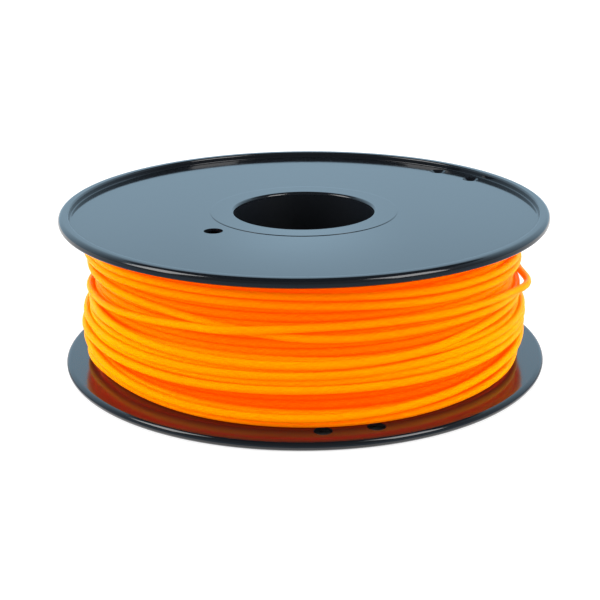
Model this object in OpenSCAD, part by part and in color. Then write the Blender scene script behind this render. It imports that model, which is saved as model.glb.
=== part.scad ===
// Spool of round plastic filament, lying flat on its lower flange.
// Two flanges of one moulding clip into the ends of a hollow hub core, and the
// filament is wound on the core between them. The axis of the bore is Z, and
// the origin is on that axis at the height of the lower rim's resting face.
// All lengths are in millimetres and all angles in degrees.

/* [Flange] */
// Diameter of a flange over its rim
flange_d = 200; // [180:1:240]
// Thickness of the flat disc
disc_t = 1.4; // [1.2:0.1:3]
// Width of the thick rim, measured along the radius
rim_w = 5; // [4.6:0.1:7]
// Height of the rim, from its resting face to the inner face of the disc
rim_h = 3.8; // [3.7:0.1:7]
// Rounding of the rim's two outward corners
rim_round = 2; // [0.4:0.1:2.2]
// Rounding of the rim's corner on the filament side
rim_inner_round = 1.4; // [0.4:0.1:1.5]
// Width of the raised boss ring around the bore, beyond the drum's inner wall
boss_overlap = 0.5; // [0:0.1:3]
// Height of the boss ring above the disc
boss_h = 0.2; // [0.1:0.1:0.6]

/* [Bore] */
// Diameter of the bore that runs on a spindle
bore_d = 57.5; // [40:0.5:60]
// Rounding of the bore's two mouths
bore_round = 1.2; // [0.4:0.1:1.3]

/* [Filament holes] */
// Diameter of the hole beside the drum where the first end is passed out
start_hole_d = 7.2; // [3:0.1:9]
// Clear distance between that hole and the drum
start_hole_gap = 3; // [1:0.5:8]
// Diameter of the two holes near the rim that hold the loose end
tie_hole_d = 7; // [3:0.1:8]
// Distance from the edge of the flange to the centres of the tie holes
tie_hole_inset = 10; // [9:0.5:20]
// Distance between the centres of the two tie holes
tie_hole_spacing = 20; // [10:0.5:40]

/* [Hub core] */
// Width between the two flanges, which is the length of the hub core
inside_w = 57.4; // [40:0.1:70]
// Diameter of the drum that the filament is wound on
drum_d = 80; // [78:0.5:110]
// Wall of the drum
drum_wall = 2; // [1.6:0.1:3]
// Wall of the bore tube
tube_wall = 2; // [1.2:0.1:3]
// Number of ribs that join the tube to the drum, and of bays between them
bay_count = 6; // [4:1:8]
// Thickness of a rib
rib_t = 1.6; // [1:0.1:2.5]
// Thickness of the web that closes the core at the middle of its length
web_t = 1.6; // [1:0.1:3]

/* [Clip joint] */
// Wall of the clip collar
collar_wall = 1.8; // [1.2:0.1:2.4]
// Depth to which the collar reaches into the drum
collar_depth = 9; // [7:0.5:12]
// Width of a hook
hook_w = 12; // [8:0.5:16]
// Width of a locating lug beside a hook
lug_w = 5; // [3:0.5:7]
// Slot between a hook and a lug, which lets the hook bend
slot_w = 1.5; // [1:0.1:3]
// How far a hook's nose stands out into its window
hook_catch = 1.1; // [0.6:0.1:1.3]
// Height of the hook's nose
hook_nose = 4; // [2.5:0.1:5]
// Clearance of the clip joint
fit_gap = 0.15; // [0.1:0.05:0.3]

/* [Assembly] */
// Turn of the lower flange, and of the hub core with it, about the axis
lower_turn = 100.5; // [0:0.5:360]
// Number of bays by which the upper flange is turned from the lower one
upper_bays = 2; // [0:1:7]

/* [Filament] */
// Diameter of the filament
filament_d = 3; // [1.75:0.05:3.2]
// Distance from the edge of the flange to the outermost turns
edge_margin = 8.6; // [5:0.1:30]
// Least clearance between neighbouring turns
lay_gap = 0.45; // [0.42:0.01:1]
// Clearance between the winding and the spool, and under the outer turns
wind_gap = 0.25; // [0.1:0.05:0.6]
// Turns of the upper layer, which comes back across the lower one
return_turns = 8.5; // [2.5:1:8.5]
// How far the upper layer sways along the axis in each turn
sway = 2; // [0:0.1:3]
// The turn of the upper layer that has sprung loose, counted from its start
slack_turn = 3; // [0:1:7]
// Azimuth at which the loose turn stands out furthest, from the right-hand side
slack_azimuth = -10; // [-60:5:60]
// How far the loose turn stands out
slack_out = 2.3; // [0:0.1:4]
// How far the loose turn leans along the axis, each way
slack_lean = 1.4; // [0:0.1:1.4]

/* [Hidden] */

$fn = 120;
through = 1; // how far a cut runs past the faces that it goes through

// Radii
flange_r = flange_d / 2;
rim_in_r = flange_r - rim_w;
bore_r = bore_d / 2;
tube_r = bore_r + tube_wall;
drum_r = drum_d / 2;
drum_in_r = drum_r - drum_wall;
boss_r = drum_in_r + boss_overlap;
collar_r = drum_in_r - fit_gap;
start_hole_at = drum_r + start_hole_gap + start_hole_d / 2;
tie_hole_at = flange_r - tie_hole_inset;
tie_half_angle = asin(tie_hole_spacing / 2 / tie_hole_at);

// Heights in a flange: 0 is its resting face, and the hub core is above
disc_z = rim_h - disc_t;
boss_z = disc_z - boss_h;
collar_z = rim_h + collar_depth;
nose_z = collar_z - hook_nose;
nose_flat = hook_nose / 4; // straight part of the nose, under its ramp
collar_chamfer = collar_wall / 3;

// Heights of the assembly
core_bottom = rim_h;
core_top = rim_h + inside_w;
overall_w = inside_w + 2 * rim_h;

// Turns of the pieces
bay_angle = 360 / bay_count;
upper_turn = lower_turn + upper_bays * bay_angle;
hook_angle = arc_angle(hook_w, collar_r);
slot_angle = arc_angle(slot_w, collar_r);
lug_angle = arc_angle(lug_w, collar_r);

// The winding
rings_per_turn = 24;
ring_sides = 6;
layer_step = filament_d + lay_gap;
upper_path_r = flange_r - edge_margin - filament_d / 2;
lower_path_r = upper_path_r - layer_step;
wound_core_r = (lower_path_r - filament_d / 2) * cos(180 / rings_per_turn) - wind_gap;
lay_bottom = core_bottom + wind_gap + filament_d / 2;
lay_top = core_top - wind_gap - filament_d / 2;
// The lower layer's last half turn climbs on to the upper layer
climb = 0.5;
lower_turns = floor((lay_top - lay_bottom) / layer_step - climb) + climb;
lower_pitch = (lay_top - lay_bottom) / lower_turns;
upper_pitch = (lay_top - lay_bottom - 2 * sway) / return_turns;
first_angle = 90; // the winding's first end is at the back
slack_span = 1 / 6; // length of the loose stretch, in turns
slack_phase = (slack_azimuth - first_angle) / 360 - lower_turns;
slack_at = slack_turn + slack_phase - floor(slack_phase);
rings = round((lower_turns + return_turns) * rings_per_turn);

function arc_angle(length, r) = length / r * 180 / PI;

// 0 before a stretch, 1 after it, and a smooth rise between
function eased(x) = let (c = min(1, max(0, x))) c * c * (3 - 2 * c);

// Distance along the upper layer, in turns
function upper_part(turn) = max(0, turn - lower_turns);

// 1 at the middle of the loose stretch, falling to 0 at its ends
function slack(turn) =
    let (x = (upper_part(turn) - slack_at) / slack_span)
    abs(x) < 1 ? pow(cos(90 * x), 2) : 0;

// 1 before the middle of the loose stretch and -1 after it, 0 at its ends
function lean(turn) =
    let (x = (upper_part(turn) - slack_at) / slack_span)
    abs(x) < 1 ? -sin(180 * x) : 0;

function path_r(turn) =
    lower_path_r
    + layer_step * eased((turn - lower_turns + climb) / climb)
    + slack_out * slack(turn);

function path_z(turn) =
    turn < lower_turns
    ? lay_bottom + lower_pitch * turn
    : lay_top
      - upper_pitch * upper_part(turn)
      - sway * (1 - cos(360 * upper_part(turn)))
      + slack_lean * lean(turn);

function path_point(i) =
    let (turn = i / rings_per_turn, a = first_angle + 360 * turn, r = path_r(turn))
    [r * cos(a), r * sin(a), path_z(turn)];

function unit(v) = v / norm(v);

// The turns run straight for one filament diameter at each end
laid = [for (i = [0 : rings]) path_point(i)];
first_way = unit(laid[0] - laid[1]);
last_way = unit(laid[rings] - laid[rings - 1]);
path = concat(
    [laid[0] + filament_d * first_way],
    laid,
    [laid[rings] + filament_d * last_way]
);
last = len(path) - 1;

// One ring of the tube: square to the path, with a corner pointing outward
function tube_ring(i) =
    let (
        way = unit(path[min(last, i + 1)] - path[max(0, i - 1)]),
        out = unit([path[i].x, path[i].y, 0]),
        side = unit(cross(way, out)),
        up = cross(side, way)
    )
    [for (k = [0 : ring_sides - 1])
        let (a = 360 * k / ring_sides)
        path[i] + filament_d / 2 * (cos(a) * up + sin(a) * side)];

// Least clearance of the turns to themselves, on the points of the path
half_turn = rings_per_turn / 2;
least_gap = min([
    for (i = [0 : last - half_turn])
        min([for (j = [i + half_turn : last]) norm(path[i] - path[j])])
]) - filament_d;
echo(turns_shown = lower_turns + return_turns, least_gap = least_gap);

// What is cut from a square corner at the origin, inside +X +Y, to round it
module corner_cut(r) {
    difference() {
        translate([-through, -through]) square(r + through);
        translate([r, r]) circle(r);
    }
}

module ring(r_out, r_in, z_low, z_high) {
    rotate_extrude() translate([r_in, z_low]) square([r_out - r_in, z_high - z_low]);
}

module flange_section() {
    difference() {
        union() {
            translate([bore_r, disc_z]) square([rim_in_r - bore_r + rim_w / 2, disc_t]);
            translate([bore_r, boss_z]) square([boss_r - bore_r, boss_h + disc_t / 2]);
            translate([rim_in_r, 0]) square([rim_w, rim_h]);
        }
        translate([rim_in_r, 0]) corner_cut(rim_round);
        translate([flange_r, 0]) mirror([1, 0]) corner_cut(rim_round);
        translate([flange_r, rim_h]) rotate(180) corner_cut(rim_inner_round);
        translate([bore_r, boss_z]) corner_cut(bore_round);
    }
}

// The collar's wall, from inside the disc to its chamfered tip
module collar_section() {
    polygon([
        [collar_r - collar_wall, disc_z + disc_t / 2],
        [collar_r, disc_z + disc_t / 2],
        [collar_r, collar_z - collar_chamfer],
        [collar_r - collar_chamfer, collar_z],
        [collar_r - collar_wall, collar_z]
    ]);
}

// The hook's nose: flat below, where it catches, and a ramp up to the tip
module nose_section() {
    polygon([
        [collar_r - collar_wall / 2, nose_z],
        [collar_r + hook_catch, nose_z],
        [collar_r + hook_catch, nose_z + nose_flat],
        [collar_r - collar_chamfer, collar_z],
        [collar_r - collar_wall / 2, collar_z]
    ]);
}

// Turns a section through an arc that is centred on the angle at
module arc(at, span) {
    rotate([0, 0, at - span / 2]) rotate_extrude(angle = span) children();
}

// The hook and two locating lugs of one bay
module clip_bay() {
    lug_at = hook_angle / 2 + slot_angle + lug_angle / 2;
    arc(0, hook_angle) collar_section();
    arc(0, hook_angle) nose_section();
    for (side = [-1, 1])
        arc(side * lug_at, lug_angle) collar_section();
}

module filament_hole(r_at, angle, d) {
    rotate([0, 0, angle])
        translate([r_at, 0, disc_z - through])
            cylinder(h = disc_t + 2 * through, d = d);
}

module flange() {
    difference() {
        rotate_extrude() flange_section();
        filament_hole(start_hole_at, 0, start_hole_d);
        for (side = [-1, 1])
            filament_hole(tie_hole_at, 180 + side * tie_half_angle, tie_hole_d);
    }
    for (bay = [0 : bay_count - 1])
        rotate([0, 0, (bay + 0.5) * bay_angle]) clip_bay();
}

module lower_flange() {
    color([0.09, 0.10, 0.11])
        rotate([0, 0, lower_turn]) flange();
}

// The same moulding, turned over
module upper_flange() {
    color([0.09, 0.10, 0.11])
        translate([0, 0, overall_w]) rotate([0, 0, upper_turn]) rotate([180, 0, 0]) flange();
}

// The windows in one end of the drum, for the hooks of the flange there
module hook_windows() {
    window_angle = hook_angle + 2 * arc_angle(fit_gap, collar_r);
    window_h = hook_nose + 2 * fit_gap;
    for (bay = [0 : bay_count - 1])
        arc((bay + 0.5) * bay_angle, window_angle)
            translate([drum_in_r - through, nose_z - fit_gap])
                square([drum_wall + 2 * through, window_h]);
}

// The hollow of the core between its tube, its drum and its ribs
module pocket_section() {
    difference() {
        circle(drum_in_r);
        circle(tube_r);
        for (rib = [0 : bay_count - 1])
            rotate(rib * bay_angle) translate([0, -rib_t / 2]) square([drum_r, rib_t]);
    }
}

// What is hollowed out of one end of the core, down to the web
module end_hollow() {
    translate([0, 0, core_bottom - through])
        linear_extrude((inside_w - web_t) / 2 + through) pocket_section();
    hook_windows();
}

module hub_core() {
    color([0.13, 0.14, 0.15])
        rotate([0, 0, lower_turn])
            difference() {
                ring(drum_r, bore_r, core_bottom, core_top);
                end_hollow();
                translate([0, 0, overall_w]) rotate([180, 0, 0]) end_hollow();
            }
}

// The inner turns, as one solid
module filament_core() {
    color([1, 0.45, 0.02])
        ring(wound_core_r, drum_r + wind_gap, core_bottom + wind_gap, core_top - wind_gap);
}

// The outer turns, as one unbroken length: a close layer and the one over it
module filament_outer_turns() {
    corners = [for (i = [0 : last]) each tube_ring(i)];
    sides = [
        for (i = [0 : last - 1], k = [0 : ring_sides - 1])
            let (
                here = i * ring_sides,
                there = here + ring_sides,
                next = (k + 1) % ring_sides
            )
            each [
                [here + k, there + next, here + next],
                [here + k, there + k, there + next]
            ]
    ];
    first_end = [for (k = [1 : ring_sides - 2]) [0, k, k + 1]];
    last_ring = last * ring_sides;
    last_end = [for (k = [1 : ring_sides - 2]) [last_ring, last_ring + k + 1, last_ring + k]];
    color([1, 0.55, 0.04])
        polyhedron(points = corners, faces = concat(sides, first_end, last_end));
}

lower_flange();
upper_flange();
hub_core();
filament_core();
filament_outer_turns();
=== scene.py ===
import math

import bpy
import numpy as np
from mathutils import Euler, Matrix, Vector


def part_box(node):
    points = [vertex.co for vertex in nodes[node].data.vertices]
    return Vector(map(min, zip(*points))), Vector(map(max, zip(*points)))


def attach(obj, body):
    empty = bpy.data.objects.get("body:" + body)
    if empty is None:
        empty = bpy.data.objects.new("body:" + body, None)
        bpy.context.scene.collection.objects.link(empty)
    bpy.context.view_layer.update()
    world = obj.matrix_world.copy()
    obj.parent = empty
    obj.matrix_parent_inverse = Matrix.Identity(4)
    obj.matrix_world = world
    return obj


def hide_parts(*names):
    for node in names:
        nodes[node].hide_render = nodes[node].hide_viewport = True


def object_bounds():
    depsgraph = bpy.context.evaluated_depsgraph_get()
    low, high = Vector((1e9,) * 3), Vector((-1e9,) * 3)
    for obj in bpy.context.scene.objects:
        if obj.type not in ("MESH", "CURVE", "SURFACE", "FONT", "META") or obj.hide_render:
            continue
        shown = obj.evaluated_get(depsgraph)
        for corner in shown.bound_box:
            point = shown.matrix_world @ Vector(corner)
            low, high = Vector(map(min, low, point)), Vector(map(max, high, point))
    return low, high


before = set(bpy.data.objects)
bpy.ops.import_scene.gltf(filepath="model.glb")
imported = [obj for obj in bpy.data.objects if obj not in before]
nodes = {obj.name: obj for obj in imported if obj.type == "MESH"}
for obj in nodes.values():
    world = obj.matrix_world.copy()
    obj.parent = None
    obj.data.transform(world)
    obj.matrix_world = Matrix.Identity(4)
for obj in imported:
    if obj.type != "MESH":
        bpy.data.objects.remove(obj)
cad_low, cad_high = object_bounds()

# ---------------------------------------------------------------- sizes
MM = 0.001  # lengths below are in millimetres, and Blender's are in metres

# The spool: its axis is Z, and it lies on its lower flange
TOP_Z = cad_high[2] / MM
MID_Z = TOP_Z / 2
FLANGE_R = cad_high[0] / MM
RIM_W = 4.5
RIM_H = 3.8
RIM_IN_R = FLANGE_R - RIM_W
RIM_ROUND = 2.0
RIM_LIP_ROUND = 0.9  # at the disc
RIM_INNER_ROUND = 1.7  # at the filament
CORNER_ROUND = 0.4  # where the disc runs into the rim
DISC_Z = 2.5  # from the rim's resting face up to the disc
BOSS_Z = 2.34
BOSS_R = 38.5
BOSS_EDGE = 0.08
BORE_R = 28.75
BORE_ROUND = 1.2
START_HOLE_R = 3.8
START_HOLE_AT = 46.6
TIE_HOLE_R = 3.5
TIE_HOLE_FOOT_R = 1.7  # of the upper flange's, which taper towards the filament
TIE_HOLE_AT = 90.0
TIE_HOLE_SPACING = 20.0

# The clip collar inside the drum
COLLAR_R = 37.85
COLLAR_WALL = 1.8
COLLAR_Z = 12.8
COLLAR_CHAMFER = 0.6
HOOK_CATCH = 1.1
HOOK_NOSE = 4.0
HOOK_W = 12.0
LUG_W = 5.0
SLOT_W = 1.5
BAYS = 6

# How far each flange is turned about the axis, in degrees
LOWER_TURN = 100.5
UPPER_TURN = 220.5

# The winding: round the CAD core of it, and clear of the flanges
FILAMENT_D = 3.0
core_low, core_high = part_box("filament_core")
CORE_R = core_high.x / MM
LAY_LOW = core_low.z / MM + FILAMENT_D / 2
LAY_HIGH = core_high.z / MM - FILAMENT_D / 2
INNER_R = 40.25
START_ROWS = 6  # layers that stop short of the flange, beside the start hole
START_GAP = 9.0
RIDGE = 0.55  # height of the ridges of the inner turns, in radii of the filament
RIDGE_PARTS = (0.04, 0.2, 0.5, 0.8, 0.96)  # where a ridge has its points, across it
INNER_EDGE = 1.0  # width of the strip that keeps the inner turns' inner face flat
INNER_STEPS = 180  # steps round the inner turns

# ---------------------------------------------------------------- camera
# Where the photograph was taken from: the camera's place round the middle of the
# spool, and the way it looks, which is a little below the line to the middle
CAMERA_DISTANCE = 571.7
CAMERA_ELEVATION = math.radians(18.119)
CAMERA_PITCH = math.radians(18.988)
CAMERA_YAW = math.radians(-0.197)
CAMERA_ROLL = math.radians(-0.438)
LENS_MM = 81.86
SENSOR_MM = 36.0


def add_camera():
    camera = bpy.data.objects.new("camera", bpy.data.cameras.new("camera"))
    bpy.context.scene.collection.objects.link(camera)
    camera.data.lens = LENS_MM
    camera.data.sensor_width = SENSOR_MM
    camera.location = (
        0,
        -CAMERA_DISTANCE * math.cos(CAMERA_ELEVATION) * MM,
        (MID_Z + CAMERA_DISTANCE * math.sin(CAMERA_ELEVATION)) * MM,
    )
    aim = Euler((math.pi / 2 - CAMERA_PITCH, 0, -CAMERA_YAW)).to_matrix()
    roll = Euler((0, 0, CAMERA_ROLL)).to_matrix()
    camera.rotation_euler = (aim @ roll).to_euler()
    bpy.context.scene.camera = camera


# ---------------------------------------------------------------- node materials
WHITE = (1, 1, 1, 1)


def new_material(name):
    material = bpy.data.materials.new(name)
    material.use_nodes = True
    tree = material.node_tree
    tree.nodes.clear()
    output = tree.nodes.new("ShaderNodeOutputMaterial")
    return material, tree, output


def add_node(tree, kind, values=None, **settings):
    node = tree.nodes.new(kind)
    for key, value in settings.items():
        setattr(node, key, value)
    for key, value in (values or {}).items():
        if isinstance(value, bpy.types.NodeSocket):
            tree.links.new(value, node.inputs[key])
        else:
            node.inputs[key].default_value = value
    return node


def position(tree):
    """Where a point of a piece is, in metres."""
    return add_node(tree, "ShaderNodeTexCoord").outputs["Object"]


def component(tree, vector, axis):
    """The X, Y or Z of a shader vector."""
    return add_node(tree, "ShaderNodeSeparateXYZ", {"Vector": vector}).outputs[axis]


def computed(tree, operation, *values):
    """The result of a math operation on shader values."""
    node = add_node(tree, "ShaderNodeMath", dict(enumerate(values)), operation=operation)
    return node.outputs["Value"]


def vector_computed(tree, operation, *values, output="Vector"):
    """The result of a math operation on shader vectors."""
    node = add_node(
        tree, "ShaderNodeVectorMath", dict(enumerate(values)), operation=operation,
    )
    return node.outputs[output]


def length_of(tree, vector):
    return vector_computed(tree, "LENGTH", vector, output="Value")


def mapped(tree, value, start, end, low=0.0, high=1.0, smooth=True):
    """Goes from low to high as a shader value goes from start to end."""
    node = add_node(
        tree, "ShaderNodeMapRange",
        {"Value": value, "From Min": start, "From Max": end, "To Min": low, "To Max": high},
        interpolation_type="SMOOTHSTEP" if smooth else "LINEAR",
    )
    return node.outputs["Result"]


def noise(tree, place, scale, detail):
    """The grey value of a noise texture, from 0 to 1."""
    node = add_node(
        tree, "ShaderNodeTexNoise",
        {"Vector": place, "Scale": scale, "Detail": detail, "Roughness": 0.5},
    )
    return node.outputs["Fac"]


def blended(tree, factor, first, second):
    """A colour between two colours."""
    node = add_node(tree, "ShaderNodeMix", {"Factor": factor}, data_type="RGBA")
    node.inputs["A"].default_value = first
    node.inputs["B"].default_value = second
    return node.outputs["Result"]


def mixed(tree, factor, first, second):
    """A shader between two shaders."""
    node = add_node(tree, "ShaderNodeMixShader", {0: factor, 1: first, 2: second})
    return node.outputs["Shader"]


def emission(tree, strength, colour=WHITE):
    values = {"Color": colour, "Strength": strength}
    return add_node(tree, "ShaderNodeEmission", values).outputs["Emission"]


# ---------------------------------------------------------------- black plastic
BLACK = (0.004, 0.005, 0.007, 1)
BLACK_FLOW = (0.007, 0.009, 0.012, 1)  # in the flow marks
GLOSS = (0.08, 0.13)  # least and greatest roughness
DULL = 0.32  # roughness of the flanges' faces on the filament's side
DULL_EDGE = 0.1  # how far each way the change between them reaches, in height


def black_plastic():
    """Glossy moulded black polystyrene, with faint flow marks and a fine grain.

    The faces that the filament lies between are duller.
    """
    material, tree, output = new_material("black_plastic")
    place = position(tree)
    flow = noise(tree, place, scale=14.0, detail=3.0)
    grain = noise(tree, place, scale=900.0, detail=2.0)
    gloss = mapped(tree, flow, 0, 1, *GLOSS, smooth=False)
    from_middle = computed(
        tree, "ABSOLUTE", computed(tree, "SUBTRACT", component(tree, place, "Z"), MID_Z * MM),
    )
    face = MID_Z - RIM_H
    dull = mapped(
        tree, from_middle, (face - DULL_EDGE) * MM, (face + DULL_EDGE) * MM,
        DULL, 0, smooth=False,
    )
    bump = add_node(
        tree, "ShaderNodeBump", {"Height": grain, "Strength": 0.03, "Distance": 0.02 * MM},
    )
    shader = add_node(
        tree, "ShaderNodeBsdfPrincipled",
        {
            "Base Color": blended(tree, flow, BLACK, BLACK_FLOW),
            "Roughness": computed(tree, "MAXIMUM", gloss, dull),
            "IOR": 1.59,
            "Normal": bump.outputs["Normal"],
        },
    )
    tree.links.new(shader.outputs["BSDF"], output.inputs["Surface"])
    return material


# ---------------------------------------------------------------- orange filament
# Painted shade: strands that lie deep get a redder, darker orange in place of the shade that
# falls between the strands; the open orange is the filament's own colour.
PAINTED_SHADE_ORANGE = (1.0, 0.07, 0.0, 1)  # painted shade, of strands that lie deep
OPEN_ORANGE = (1.0, 0.32, 0.0, 1)  # the filament's own colour, of strands that lie open
OPEN_OUT = 0.85  # how much of the painted shade the outermost strands are spared, where 1 is all of it
OPEN_UP = 0.3  # how much of the painted shade the deep strands in the upper part are spared
UPPER_FROM, UPPER_TO = 0.30 * TOP_Z, 0.45 * TOP_Z  # where that part starts, in height
CLOUDING = 0.15  # unevenness of the colour
PAINTED_GLOW = 0.3  # strength of the painted glow inside the winding, an emission that stands in for fluorescence and for light in its shade
GLOW_DEPTH = 20.0  # how far in from the outer turns it fades away


def orange_filament():
    """Translucent fluorescent orange plastic, extruded smooth, with painted shade on the strands
    that lie deep and a painted glow inside the winding.
    """
    material, tree, output = new_material("orange_filament")
    place = position(tree)
    cloud = noise(tree, place, scale=60.0, detail=2.0)
    out = length_of(tree, vector_computed(tree, "MULTIPLY", place, (1, 1, 0)))
    # The painted shade: the share of the open orange falls towards the core, less so in the upper
    # part, with random clouding on top.
    upper = mapped(
        tree, component(tree, place, "Z"), UPPER_FROM * MM, UPPER_TO * MM,
        high=OPEN_UP, smooth=False,
    )
    lit_share = mapped(
        tree, out, (CORE_R + FILAMENT_D) * MM, (CORE_R + 2 * FILAMENT_D) * MM, upper, OPEN_OUT,
    )
    clouded = computed(tree, "MULTIPLY", cloud, computed(tree, "ADD", lit_share, CLOUDING))
    shader = add_node(
        tree, "ShaderNodeBsdfPrincipled",
        {
            "Base Color": blended(
                tree, computed(tree, "MAXIMUM", clouded, lit_share), PAINTED_SHADE_ORANGE, OPEN_ORANGE,
            ),
            "Roughness": 0.36,
            "IOR": 1.2,
            "Specular IOR Level": 0.12,
            "Specular Tint": (1.0, 0.6, 0.1, 1),
            "Subsurface Weight": 1.0,
            "Subsurface Radius": (1.0, 0.75, 0.05),
            "Subsurface Scale": 3.6 * MM,
            # Painted glow: a red emission, full from the core's outside outwards, which lifts the
            # winding's shade.
            "Emission Color": (1.0, 0.15, 0.0, 1),
            "Emission Strength": mapped(
                tree, out, (CORE_R - GLOW_DEPTH) * MM, CORE_R * MM, high=PAINTED_GLOW, smooth=False,
            ),
        },
    )
    tree.links.new(shader.outputs["BSDF"], output.inputs["Surface"])
    return material


# ---------------------------------------------------------------- meshes
def mesh_object(name, corners, faces, material=None):
    """A smooth mesh of corners that are given in millimetres."""
    mesh = bpy.data.meshes.new(name)
    mesh.from_pydata((np.asarray(corners) * MM).tolist(), [], faces)
    mesh.polygons.foreach_set("use_smooth", [True] * len(mesh.polygons))
    mesh.update()
    piece = bpy.data.objects.new(name, mesh)
    bpy.context.scene.collection.objects.link(piece)
    if material:
        mesh.materials.append(material)
    return piece


def circle(radius, height, middle=(0.0, 0.0), steps=64):
    """Points round a level circle."""
    angles = 2 * math.pi * np.arange(steps) / steps
    return [
        (middle[0] + radius * math.cos(a), middle[1] + radius * math.sin(a), height)
        for a in angles
    ]


def band(steps=64):
    """The faces between two circles, of which the second follows the first."""
    return [(i, (i + 1) % steps, steps + (i + 1) % steps, steps + i) for i in range(steps)]


def arc(centre, radius, start, end, steps=8):
    """Points of a round corner in a section, from one angle to another."""
    angles = np.radians(np.linspace(start, end, steps + 1))
    return [(centre[0] + radius * math.cos(a), centre[1] + radius * math.sin(a)) for a in angles]


def turned(section, start, span, steps):
    """A section turned about the axis through a span of degrees."""
    closed = span == 360
    angles = np.radians(start + span * np.arange(steps if closed else steps + 1) / steps)
    corners = [
        (r * math.cos(a), r * math.sin(a), z) for a in angles for r, z in section
    ]
    count = len(section)
    faces = []
    for i in range(steps):
        here, there = i * count, (i + 1) % len(angles) * count
        for k in range(count):
            after = (k + 1) % count
            faces.append((here + k, there + k, there + after, here + after))
    if not closed:
        faces.append(tuple(range(count)))
        faces.append(tuple(reversed(range(steps * count, (steps + 1) * count))))
    return corners, faces


def gathered(parts):
    """Corners and faces of several closed forms as one list of each."""
    corners, faces = [], []
    for part_corners, part_faces in parts:
        first = len(corners)
        corners += part_corners
        faces += [tuple(first + i for i in face) for face in part_faces]
    return corners, faces


# ---------------------------------------------------------------- the flanges
FLAT_EDGE = 0.5  # width of the strip beside a round corner that keeps a flat face flat
DRILL_PAST = 0.2  # how far a drill runs past the disc on each side
FLANGE_STEPS = 360  # steps round a flange, and round a hook and a lug of it
HOOK_STEPS = 12
LUG_STEPS = 6
FLANGE_SHARP = math.radians(25)  # least angle between faces that shows as an edge


def flange_section():
    """The flange's section, from its resting face at 0 up to the filament's side."""
    inner = RIM_IN_R - CORNER_ROUND
    return (
        arc((BORE_R + BORE_ROUND, BOSS_Z + BORE_ROUND), BORE_ROUND, 180, 270)
        + [(BORE_R + BORE_ROUND + FLAT_EDGE, BOSS_Z), (BOSS_R - BOSS_EDGE - FLAT_EDGE, BOSS_Z)]
        + arc((BOSS_R - BOSS_EDGE, BOSS_Z + BOSS_EDGE), BOSS_EDGE, 270, 360, steps=4)
        + [(BOSS_R, DISC_Z), (BOSS_R + FLAT_EDGE, DISC_Z), (inner - FLAT_EDGE, DISC_Z)]
        + arc((inner, DISC_Z - CORNER_ROUND), CORNER_ROUND, 90, 0, steps=4)
        + arc((RIM_IN_R + RIM_LIP_ROUND, RIM_LIP_ROUND), RIM_LIP_ROUND, 180, 270)
        + arc((FLANGE_R - RIM_ROUND, RIM_ROUND), RIM_ROUND, 270, 360)
        + arc((FLANGE_R - RIM_INNER_ROUND, RIM_H - RIM_INNER_ROUND), RIM_INNER_ROUND, 0, 90)
        + [(FLANGE_R - RIM_INNER_ROUND - FLAT_EDGE, RIM_H)]
        + [(BORE_R + FLAT_EDGE, RIM_H), (BORE_R, RIM_H)]
    )


def clip_collar():
    """Six hooks, each between two locating lugs, as in the CAD flange."""
    inner = COLLAR_R - COLLAR_WALL
    foot = (DISC_Z + RIM_H) / 2
    nose = COLLAR_Z - HOOK_NOSE
    tip = (COLLAR_R - COLLAR_CHAMFER, COLLAR_Z)
    lug = [
        (inner, foot), (COLLAR_R, foot), (COLLAR_R, COLLAR_Z - COLLAR_CHAMFER), tip,
        (inner, COLLAR_Z),
    ]
    hook = [
        (inner, foot), (COLLAR_R, foot), (COLLAR_R, nose), (COLLAR_R + HOOK_CATCH, nose),
        (COLLAR_R + HOOK_CATCH, nose + HOOK_NOSE / 4), tip, (inner, COLLAR_Z),
    ]
    hook_span, lug_span, slot_span = (
        math.degrees(width / COLLAR_R) for width in (HOOK_W, LUG_W, SLOT_W)
    )
    parts = []
    for bay in range(BAYS):
        at = (bay + 0.5) * 360 / BAYS
        parts.append(turned(hook, at - hook_span / 2, hook_span, HOOK_STEPS))
        for side in (-1, 1):
            middle = at + side * (hook_span / 2 + slot_span + lug_span / 2)
            parts.append(turned(lug, middle - lug_span / 2, lug_span, LUG_STEPS))
    return gathered(parts)


def drill(radius, foot_radius, x, y):
    """Cuts a round hole through the disc, from its outer face to the filament's side.

    Its radius goes from the first to the second on the way.
    """
    disc_t = RIM_H - DISC_Z
    slope = (foot_radius - radius) / disc_t
    corners = []
    for depth in (-DRILL_PAST, disc_t + DRILL_PAST):
        corners += circle(radius + slope * depth, DISC_Z + depth, middle=(x, y))
    steps = len(corners) // 2
    ends = [tuple(reversed(range(steps))), tuple(range(steps, 2 * steps))]
    return corners, band(steps) + ends


def drills(tie_foot_radius):
    """The start hole and the two tie holes of a flange."""
    half = TIE_HOLE_SPACING / 2
    out = math.sqrt(TIE_HOLE_AT ** 2 - half ** 2)
    return gathered([
        drill(START_HOLE_R, START_HOLE_R, START_HOLE_AT, 0),
        drill(TIE_HOLE_R, tie_foot_radius, -out, half),
        drill(TIE_HOLE_R, tie_foot_radius, -out, -half),
    ])


def combined(base, tools):
    """The base with each tool object added or cut, and the tools removed."""
    for tool, operation in tools:
        change = base.modifiers.new(operation, "BOOLEAN")
        change.object = tool
        change.operation = operation
        change.solver = "EXACT"
    graph = bpy.context.evaluated_depsgraph_get()
    mesh = bpy.data.meshes.new_from_object(base.evaluated_get(graph))
    base.modifiers.clear()
    base.data = mesh
    for tool, _ in tools:
        bpy.data.objects.remove(tool)


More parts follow.
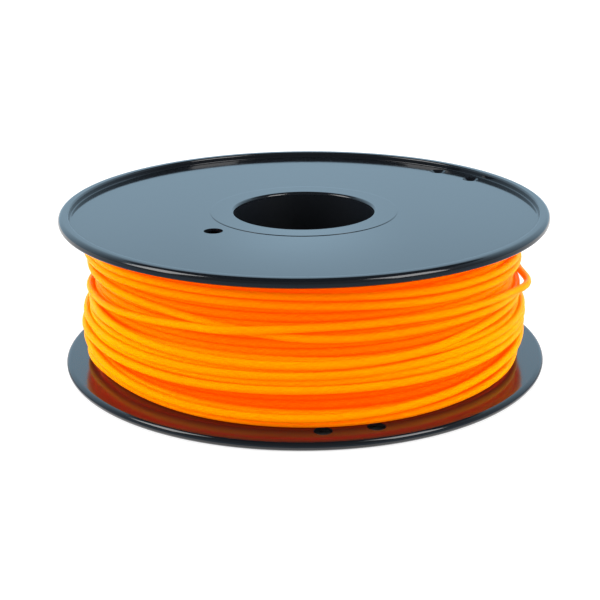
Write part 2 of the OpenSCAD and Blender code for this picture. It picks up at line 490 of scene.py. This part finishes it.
def add_flanges(material):
    """Both flanges, which are one moulding: the upper one is turned over."""
    turn = Matrix.Rotation(math.radians(LOWER_TURN), 4, "Z")
    over = (
        Matrix.Translation((0, 0, TOP_Z * MM))
        @ Matrix.Rotation(math.radians(UPPER_TURN), 4, "Z")
        @ Matrix.Rotation(math.pi, 4, "X")
    )
    for node, placed, tie_foot_radius in (
        ("lower_flange", turn, TIE_HOLE_R), ("upper_flange", over, TIE_HOLE_FOOT_R),
    ):
        disc = turned(flange_section(), 0, 360, FLANGE_STEPS)
        piece = mesh_object(node + "_moulding", *disc, material)
        clips = mesh_object("clips", *clip_collar())
        holes = mesh_object("holes", *drills(tie_foot_radius))
        combined(piece, [(clips, "UNION"), (holes, "DIFFERENCE")])
        mesh = piece.data
        mesh.polygons.foreach_set("use_smooth", [True] * len(mesh.polygons))
        mesh.transform(placed)
        mesh.set_sharp_from_angle(angle=FLANGE_SHARP)
        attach(piece, "root")
        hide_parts(node)


# ---------------------------------------------------------------- the winding
SAMPLES = 120  # points along one turn
SIDES = 12  # corners round the filament
JOIN_AZIMUTH = 90.0  # turns are counted from the back of the spool
TURN_AZIMUTHS = np.radians(JOIN_AZIMUTH + np.arange(SAMPLES) * 360.0 / SAMPLES)

# Heights of the turns over the middle of the spool, at azimuths from the left of
# the view (190) past its front (270) to its right. Between one turn's last height
# and the next one's first, the strand crosses over at the back of the spool.
KNOT_AZIMUTHS = (190, 210, 240, 270, 300, 330, 350)
OUTER_TURNS = (
    (20.2, 20.7, 22.5, 22.5, 20.3, 17.4, 16.9),
    (17.0, 17.5, 19.3, 19.1, 16.3, 14.0, 13.5),
    (13.4, 13.0, 12.3, 5.2, 6.0, 4.0, 2.0),
    (2.7, 3.3, 8.2, 10.9, 10.8, 7.0, 3.8),
    (-0.4, 0.2, -2.9, -3.4, -2.1, 0.9, -0.8),
    (-8.0, -8.0, -7.8, -7.1, -5.9, -5.8, -6.0),
    (-11.0, -10.9, -10.8, -10.2, -8.8, -8.9, -9.0),
    (-12.6, -13.2, -13.2, -12.2, -12.9, -13.0, -12.6),
    (-26.0, -24.4, -26.2, -26.6, -26.8, -25.6, -25.2),
    (-17.2, -19.1, -23.4, -24.2, -22.0, -19.2, -17.0),
)
# The turns just under those
UNDER_TURNS = (
    (-17.9, -19.5, -21.6, -22.8, -23.4, -20.9, -18.4),
    (-13.4, -13.8, -13.6, -12.9, -10.8, -10.8, -12.6),
    (-6.6, -5.8, -6.0, -5.6, -7.2, -7.6, -9.4),
    (-3.4, -2.6, -1.4, -2.0, -3.8, -4.2, -6.2),
)
NESTED = 0.2  # how far each layer presses into the one below
HEIGHT_BLUR = SAMPLES / 30  # samples over which the heights run smoothly
RADIUS_BLUR = 2  # and the radii
STEP_SAMPLES = SAMPLES // 8  # samples over which a turn meets the radius of the next
EVEN_TURNS = 17  # the even layer underneath, laid from the top down
WANDER = 0.12  # of the even layer, along the axis
WANDER_SEED = 7
CUT_SHARP = math.radians(60)  # keeps the edge of the strand's cut ends
# Where a turn is slack and stands off: which outer turn, azimuth, how far, and half
# the length of the stretch in degrees
SLACK = (
    (3, 347, 2.7, 15), (3, 189, 0.9, 14), (7, 188, 0.8, 24), (8, 188, 2.4, 24),
    (8, 335, 0.9, 28), (9, 188, 0.8, 24),
)


def smoothed(values, sigma):
    """Values along the strand, blurred over sigma samples."""
    reach = int(3 * sigma) + 1
    weights = np.exp(-0.5 * (np.arange(-reach, reach + 1) / sigma) ** 2)
    padded = np.concatenate((
        np.full(reach, values[0]), values, np.full(reach, values[-1]),
    ))
    return np.convolve(padded, weights / weights.sum(), mode="valid")


def turn_heights(rows):
    """The height of the strand at each sample, from rows of one turn each."""
    places, heights = [], []
    for turn, row in enumerate(rows):
        for azimuth, height in zip(KNOT_AZIMUTHS, row):
            places.append(turn + (azimuth - JOIN_AZIMUTH) / 360.0)
            heights.append(MID_Z + height)
    along = np.arange(len(rows) * SAMPLES) / SAMPLES
    return smoothed(np.interp(along, places, heights), HEIGHT_BLUR)


def resting_radii(heights, laid_z, laid_r):
    """How far out a turn must lie, at each azimuth, to rest on what is laid."""
    floor = np.full(len(heights), CORE_R + FILAMENT_D / 2 - 2 * NESTED)
    if not laid_z:
        return floor
    reach = FILAMENT_D - NESTED
    apart = np.abs(np.array(laid_z) - heights)
    near = np.sqrt(np.maximum(reach ** 2 - apart ** 2, 0.0))
    resting = np.where(apart < reach, np.array(laid_r) + near, 0.0)
    return np.maximum(floor, resting.max(axis=0))


def bridged(radii):
    """The shortest way round outside the radii: a taut strand spans the dips."""
    x, y = radii * np.cos(TURN_AZIMUTHS), radii * np.sin(TURN_AZIMUTHS)
    count = len(radii)
    start = int(np.argmax(radii))
    hull = []
    for step in range(count + 1):
        i = (start + step) % count
        point = (x[i], y[i])
        while len(hull) > 1:
            (ax, ay), (bx, by) = hull[-2][1], hull[-1][1]
            turn = (bx - ax) * (point[1] - ay) - (by - ay) * (point[0] - ax)
            if turn > 0:
                break
            hull.pop()
        hull.append((step, point))
    out = np.empty(count)
    for (first, a), (last, b) in zip(hull, hull[1:]):
        for step in range(first, last):
            i = (start + step) % count
            c, s = math.cos(TURN_AZIMUTHS[i]), math.sin(TURN_AZIMUTHS[i])
            across = (b[0] - a[0], b[1] - a[1])
            out[i] = (a[0] * across[1] - a[1] * across[0]) / (c * across[1] - s * across[0])
    return out


def slack(turn):
    """How far an outer turn stands off at each azimuth."""
    off = np.zeros(SAMPLES)
    for slack_turn, azimuth, far, half_length in SLACK:
        if slack_turn == turn:
            away = (np.degrees(TURN_AZIMUTHS) - azimuth) / half_length
            off += np.where(np.abs(away) < 1, far * np.cos(away * math.pi / 2) ** 2, 0)
    return off


def lay_filament():
    """Lays the turns one by one, each resting on those before it."""
    rng = np.random.default_rng(WANDER_SEED)
    even = np.linspace(LAY_HIGH, LAY_LOW, EVEN_TURNS) - MID_Z
    even = even[:, None] + rng.normal(0.0, WANDER, (EVEN_TURNS, len(KNOT_AZIMUTHS)))
    heights = turn_heights([*even, *UNDER_TURNS, *OUTER_TURNS])
    heights = np.clip(heights, LAY_LOW, LAY_HIGH)
    outermost = EVEN_TURNS + len(UNDER_TURNS)
    laid_z, laid_r = [], []
    ramp = 0.5 + 0.5 * np.cos(np.linspace(0, math.pi, STEP_SAMPLES))
    for turn, z in enumerate(heights.reshape(-1, SAMPLES)):
        rest = resting_radii(z, laid_z, laid_r)
        r = np.maximum(smoothed(bridged(rest), RADIUS_BLUR), rest)
        r += slack(turn - outermost)
        if laid_r:
            step = laid_r[-1][-1] - r[0]
            if step > 0:
                r[:len(ramp)] += step * ramp
            else:
                laid_r[-1][-len(ramp):] -= step * ramp[::-1]
        laid_z.append(z)
        laid_r.append(r)
    return heights, np.concatenate(laid_r)


def tube(points, radius):
    """A round tube along the points: its corners and faces."""
    ways = np.gradient(points, axis=0)
    ways /= np.linalg.norm(ways, axis=1, keepdims=True)
    outward = points * (1, 1, 0)
    outward /= np.linalg.norm(outward, axis=1, keepdims=True)
    side = np.cross(ways, outward)
    side /= np.linalg.norm(side, axis=1, keepdims=True)
    up = np.cross(side, ways)
    angles = 2 * math.pi * np.arange(SIDES) / SIDES
    rings = (
        points[:, None, :]
        + radius * np.cos(angles)[None, :, None] * up[:, None, :]
        + radius * np.sin(angles)[None, :, None] * side[:, None, :]
    )
    corners = rings.reshape(-1, 3)
    i = np.arange(len(points) - 1)[:, None] * SIDES
    k = np.arange(SIDES)[None, :]
    after = (k + 1) % SIDES
    faces = np.stack((i + k, i + SIDES + k, i + SIDES + after, i + after), axis=-1)
    return corners, faces.reshape(-1, 4).tolist()


def add_filament(material):
    """The filament that shows, as one unbroken strand."""
    heights, radii = lay_filament()
    azimuths = np.tile(TURN_AZIMUTHS, len(heights) // SAMPLES)
    points = np.stack(
        (radii * np.cos(azimuths), radii * np.sin(azimuths), heights), axis=-1
    )
    corners, faces = tube(points, FILAMENT_D / 2)
    ends = [tuple(reversed(range(SIDES))), tuple(range(len(corners) - SIDES, len(corners)))]
    strand = mesh_object("filament_strand", corners, faces + ends, material)
    strand.data.set_sharp_from_angle(angle=CUT_SHARP)
    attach(strand, "root")
    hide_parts("filament_outer_turns")


def ridged(first, last, ridge):
    """Points from one corner of a section to the next, over ridges of laid strands."""
    first, last = np.array(first), np.array(last)
    length = np.linalg.norm(last - first)
    along = (last - first) / length
    out = np.array((along[1], -along[0]))
    count = max(1, round(length / FILAMENT_D))
    points = []
    for i in range(count):
        for part in RIDGE_PARTS:
            rise = math.sqrt(1 - (2 * part - 1) ** 2) - 1
            points.append(tuple(first + along * length * (i + part) / count + out * ridge * rise))
    return points


def add_inner_turns(material):
    """The turns under the outer ones, as one body with the ridges of its strands."""
    inner, low, high = INNER_R, core_low.z / MM, core_high.z / MM
    step = inner + START_ROWS * FILAMENT_D
    corners = (
        (inner, low + START_GAP), (step, low + START_GAP), (step, low),
        (CORE_R, low), (CORE_R, high), (step, high),
        (step, high - START_GAP), (inner, high - START_GAP),
    )
    section = []
    for first, last in zip(corners, corners[1:]):
        section += ridged(first, last, FILAMENT_D / 2 * RIDGE)
    section += [
        (inner, high - START_GAP - INNER_EDGE), (inner, low + START_GAP + INNER_EDGE),
    ]
    ring = turned(section, 0, 360, INNER_STEPS)
    body = mesh_object("filament_inner_turns", *ring, material)
    body.data.flip_normals()
    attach(body, "root")
    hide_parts("filament_core")


def finish_hub_core(plastic):
    """The hub core stays as it is in the CAD model."""
    nodes["hub_core"].data.materials.clear()
    nodes["hub_core"].data.materials.append(plastic)


# ---------------------------------------------------------------- studio
FLOOR_HALF = 6000.0
FLOOR_GREY = (0.35, 0.35, 0.35, 1)
FLOOR_GLOW = 0.84  # what makes the floor white to the camera
FLOOR_GLOW_FROM = FLANGE_R - 8.0  # painted contact shadow: the glow is taken away under the spool as far as here
FLOOR_GLOW_TO = FLANGE_R + 1.5  # and it has its full glow from here on, with the painted shadow fading between the two
WORLD_LIGHT = 0.78

# The round light tent. Its cloth is bright and cool behind the spool, and dim in
# front, and a little brighter above a certain height and round one spot.
TENT_R = 2200.0
TENT_H = 2200.0
TENT_FRONT = (0.10, 0.105, 0.11, 1)
TENT_BACK = (0.55, 0.80, 1.0, 1)
TENT_FRONT_Y, TENT_BACK_Y = -0.4 * TENT_R, 0.9 * TENT_R
TENT_LOW, TENT_LOW_LIGHT = 560.0, 1.21
TENT_HIGH, TENT_HIGH_LIGHT = 680.0, 1.35
SPOT_PLACE = (0.0, TENT_R, 720.0)
SPOT_REACH = (270.0, 2000.0, 65.0)
SPOT_LIGHT = 0.55
ROOF = (0.10, 0.12, 0.14, 1)
ROOF_LIGHT = 0.3

# The dark cloth that lies round the spool. Where it is clear and where it is solid
# are given by the Y of the direction from the spool, which is 1 straight behind it.
FLAG_INNER_R = FLANGE_R + 1.0
FLAG_R = 2100.0
FLAG_Z = 1.0
FLAG = (0.26, 0.34, 0.42, 1)
FLAG_CLEAR = 0.85
FLAG_SOLID = -0.4

LAMP_WATTS = 4.0  # power of a lamp panel of one square metre whose radiance is 1
# The lamp panels: name, place, width and height, radiance where 1 is white, and
# whether the plastic mirrors it, or else it only lights the spool
SOFTBOXES = (
    ("softbox_left", (-864, -264, 700), (500, 650), 3.7, True),
    ("softbox_right", (712, -556, 700), (500, 650), 3.7, True),
    ("side_left", (-1550, -450, 550), (1100, 1100), 4.8, False),
    ("side_right", (1550, -450, 550), (1100, 1100), 4.8, False),
    ("edge_left", (-1450, 700, 450), (800, 800), 5.0, False),
    ("edge_right", (1450, 700, 450), (800, 800), 3.4, False),
)


def seen(tree):
    """1 for what the camera sees, also in or through the plastic, and 0 for light."""
    path = add_node(tree, "ShaderNodeLightPath")
    by_way = computed(
        tree, "MAXIMUM", path.outputs["Is Glossy Ray"], path.outputs["Is Transmission Ray"],
    )
    return computed(tree, "MAXIMUM", path.outputs["Is Camera Ray"], by_way)


def add_floor():
    """A floor that is white to the camera and still takes the spool's shadow, with a painted
    contact shadow under the spool, where its glow is taken away.
    """
    half = FLOOR_HALF
    corners = ((-half, -half, 0), (half, -half, 0), (half, half, 0), (-half, half, 0))
    material, tree, output = new_material("floor")
    # Painted contact shadow: the glow fades out towards and under the spool's rim.
    outside_painted_shadow = mapped(
        tree, length_of(tree, position(tree)), FLOOR_GLOW_FROM * MM, FLOOR_GLOW_TO * MM,
    )
    shown = computed(tree, "MULTIPLY", seen(tree), outside_painted_shadow)
    glow = mixed(tree, shown, emission(tree, 0.0), emission(tree, FLOOR_GLOW))
    lit = add_node(tree, "ShaderNodeBsdfDiffuse", {"Color": FLOOR_GREY})
    both = add_node(tree, "ShaderNodeAddShader", {0: lit.outputs["BSDF"], 1: glow})
    tree.links.new(both.outputs["Shader"], output.inputs["Surface"])
    mesh_object("floor", corners, [(0, 1, 2, 3)], material)


def add_world():
    """White to the camera, and a plain soft light on the spool."""
    world = bpy.data.worlds.new("studio")
    bpy.context.scene.world = world
    world.use_nodes = True
    tree = world.node_tree
    tree.nodes.clear()
    white = add_node(tree, "ShaderNodeBackground", {"Color": WHITE, "Strength": 1.0})
    fill = add_node(
        tree, "ShaderNodeBackground", {"Color": WHITE, "Strength": WORLD_LIGHT},
    )
    mix = mixed(tree, seen(tree), fill.outputs["Background"], white.outputs["Background"])
    output = add_node(tree, "ShaderNodeOutputWorld")
    tree.links.new(mix, output.inputs["Surface"])


def hang(piece):
    """Keeps something of the studio out of sight, except in what is glossy."""
    piece.visible_camera = False
    piece.visible_diffuse = False
    piece.visible_transmission = False
    piece.visible_shadow = False


def add_tent_roof():
    corners = circle(TENT_R, TENT_H)
    material, tree, output = new_material("dark_cloth")
    tree.links.new(emission(tree, ROOF_LIGHT, ROOF), output.inputs["Surface"])
    hang(mesh_object("tent_roof", corners, [tuple(range(len(corners)))], material))


def add_tent():
    """The wall of the light tent, which is what the black plastic mirrors."""
    material, tree, output = new_material("tent_cloth")
    place = position(tree)
    back = mapped(tree, component(tree, place, "Y"), TENT_FRONT_Y * MM, TENT_BACK_Y * MM)
    rise = mapped(
        tree, component(tree, place, "Z"), TENT_LOW * MM, TENT_HIGH * MM,
        TENT_LOW_LIGHT, TENT_HIGH_LIGHT, smooth=False,
    )
    from_spot = vector_computed(tree, "SUBTRACT", place, tuple(c * MM for c in SPOT_PLACE))
    away = length_of(
        tree,
        vector_computed(tree, "MULTIPLY", from_spot, tuple(1 / (c * MM) for c in SPOT_REACH)),
    )
    spot = mapped(tree, away, 1, 0, high=SPOT_LIGHT)
    tone = blended(tree, back, TENT_FRONT, TENT_BACK)
    cloth = emission(tree, computed(tree, "ADD", rise, spot), tone)
    tree.links.new(cloth, output.inputs["Surface"])
    hang(mesh_object("light_tent", circle(TENT_R, 0) + circle(TENT_R, TENT_H), band(), material))


def add_flag():
    """The dark cloth, which keeps the front of the rims dark."""
    material, tree, output = new_material("flag")
    turn = vector_computed(tree, "NORMALIZE", position(tree))
    solid = mapped(tree, component(tree, turn, "Y"), FLAG_CLEAR, FLAG_SOLID)
    clear = add_node(tree, "ShaderNodeBsdfTransparent")
    mix = mixed(tree, solid, clear.outputs["BSDF"], emission(tree, 1.0, FLAG))
    tree.links.new(mix, output.inputs["Surface"])
    corners = circle(FLAG_INNER_R, FLAG_Z) + circle(FLAG_R, FLAG_Z)
    hang(mesh_object("flag", corners, band(), material))


def add_softbox(name, place, size, radiance, mirrored):
    """A lamp panel that faces the middle of the spool."""
    lamp = bpy.data.lights.new(name, "AREA")
    lamp.shape = "RECTANGLE"
    lamp.size, lamp.size_y = (side * MM for side in size)
    lamp.energy = radiance * LAMP_WATTS * lamp.size * lamp.size_y
    holder = bpy.data.objects.new(name, lamp)
    holder.location = Vector(place) * MM
    aim = Vector((0, 0, MID_Z * MM)) - holder.location
    holder.rotation_euler = aim.to_track_quat("-Z", "Y").to_euler()
    holder.visible_glossy = mirrored
    holder.visible_diffuse = not mirrored
    bpy.context.scene.collection.objects.link(holder)


def add_studio():
    add_floor()
    add_world()
    add_tent_roof()
    add_tent()
    add_flag()
    for softbox in SOFTBOXES:
        add_softbox(*softbox)


add_camera()
plastic = black_plastic()
filament = orange_filament()
finish_hub_core(plastic)
add_flanges(plastic)
add_inner_turns(filament)
add_filament(filament)
add_studio()
bpy.context.scene.view_settings.view_transform = "Standard"
